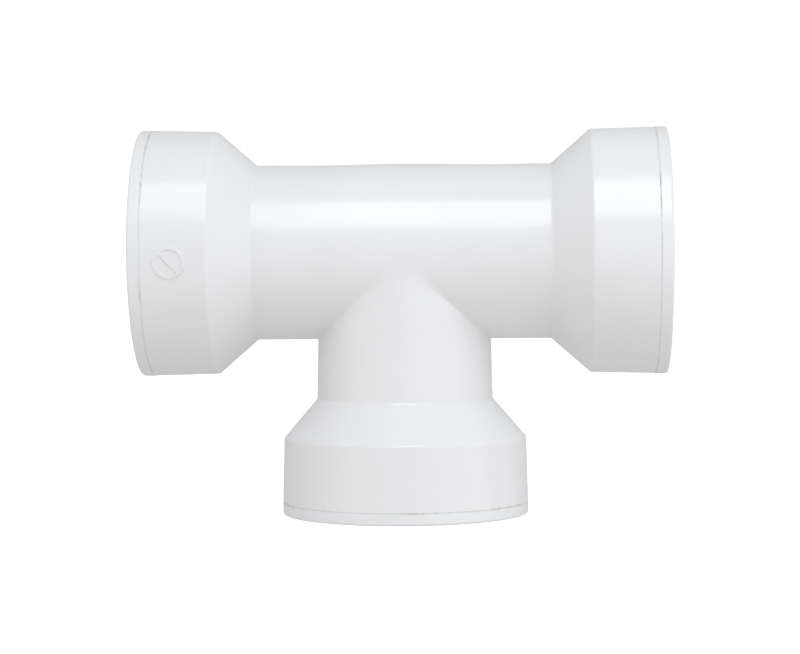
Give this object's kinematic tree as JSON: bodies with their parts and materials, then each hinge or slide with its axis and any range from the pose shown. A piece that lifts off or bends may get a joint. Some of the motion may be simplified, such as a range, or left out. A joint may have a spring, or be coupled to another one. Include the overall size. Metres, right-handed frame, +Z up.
{
  "type": "push-fit tee fitting",
  "caption": "Equal right-angle push-fit tee for plastic waste pipe, its flared sockets each holding a lip seal behind a retaining cap.",
  "frame": {"origin": "centre of the branch's mouth, the flat ring that the tee stands on, at the centre of the object's base", "axes": "+X along the run, out of the right-hand socket; +Z up, from the branch's mouth to the run; +Y away from the viewer, so -Y is the front with the moulding mark. The centrelines cross at x = 0, y = 0, z = 0.0615."},
  "size_m": [0.123, 0.0579, 0.0904],
  "materials": {
    "body_plastic": "white injection-moulded polypropylene, glossy",
    "cap_plastic": "white injection-moulded polypropylene, glossy",
    "seal_rubber": "black moulded EPDM, satin"
  },
  "bodies": {
    "root": {"tee_body": "body_plastic", "left_lip_seal": "seal_rubber", "right_lip_seal": "seal_rubber", "branch_lip_seal": "seal_rubber", "left_retaining_cap": "cap_plastic", "right_retaining_cap": "cap_plastic", "branch_retaining_cap": "cap_plastic"}
  },
  "joints": []
}
